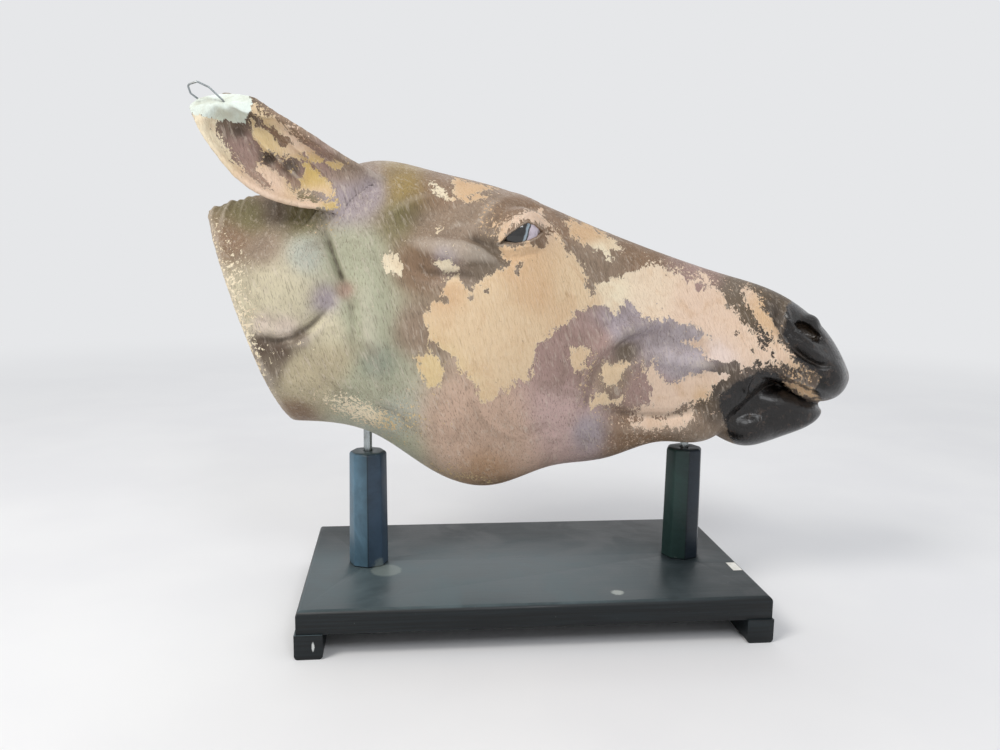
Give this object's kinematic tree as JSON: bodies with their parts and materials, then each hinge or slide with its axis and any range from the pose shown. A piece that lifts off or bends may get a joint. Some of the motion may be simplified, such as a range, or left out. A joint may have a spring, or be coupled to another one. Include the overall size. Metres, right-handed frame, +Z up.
{
  "type": "plaster horse head sculpture",
  "caption": "Life-size hollow painted plaster horse head, flaked and worn, held on steel rods in octagonal posts over a black wooden stand.",
  "frame": {"origin": "on the floor, under the middle of the whole piece's length and width", "axes": "+X from the neck to the muzzle, +Y to the animal's left, +Z up"},
  "size_m": [0.7635, 0.283, 0.607],
  "materials": {
    "painted_plaster": "matte",
    "raw_plaster": "matte",
    "scrim": "matte",
    "glazed_eye": "gloss",
    "black_painted_wood": "satin",
    "bare_wood": "matte",
    "steel_rod": "satin",
    "steel_tube": "satin",
    "steel_wire": "satin",
    "steel_fastener": "satin",
    "paper_sticker": "matte"
  },
  "bodies": {
    "stand": {"base_board": "black_painted_wood", "runner_rear": "black_painted_wood", "runner_front": "black_painted_wood", "runner_screws": "steel_fastener", "post_rear": "black_painted_wood", "post_front": "black_painted_wood", "rod_rear": "steel_rod", "rod_front": "steel_rod", "rod_washers": "steel_fastener", "rod_nuts": "steel_fastener", "blank_sticker": "paper_sticker"},
    "head": {"head_shell_left": "painted_plaster", "head_shell_right": "painted_plaster", "ear_left": "painted_plaster", "ear_right": "painted_plaster", "ear_wire_left": "steel_wire", "ear_wire_right": "steel_wire", "eye_left": "glazed_eye", "eye_right": "glazed_eye", "seam_scrim_top": "scrim", "seam_scrim_bottom": "scrim", "neck_brace": "bare_wood", "socket_block_rear": "bare_wood", "socket_block_front": "bare_wood", "socket_sleeve_rear": "steel_tube", "socket_sleeve_front": "steel_tube", "block_bedding_rear": "raw_plaster", "block_bedding_front": "raw_plaster"}
  },
  "joints": [
    {"name": "head_lift", "type": "slide", "parent": "stand", "child": "head", "axis": [0, 0, 1], "range_m": [0, 0.1]}
  ]
}
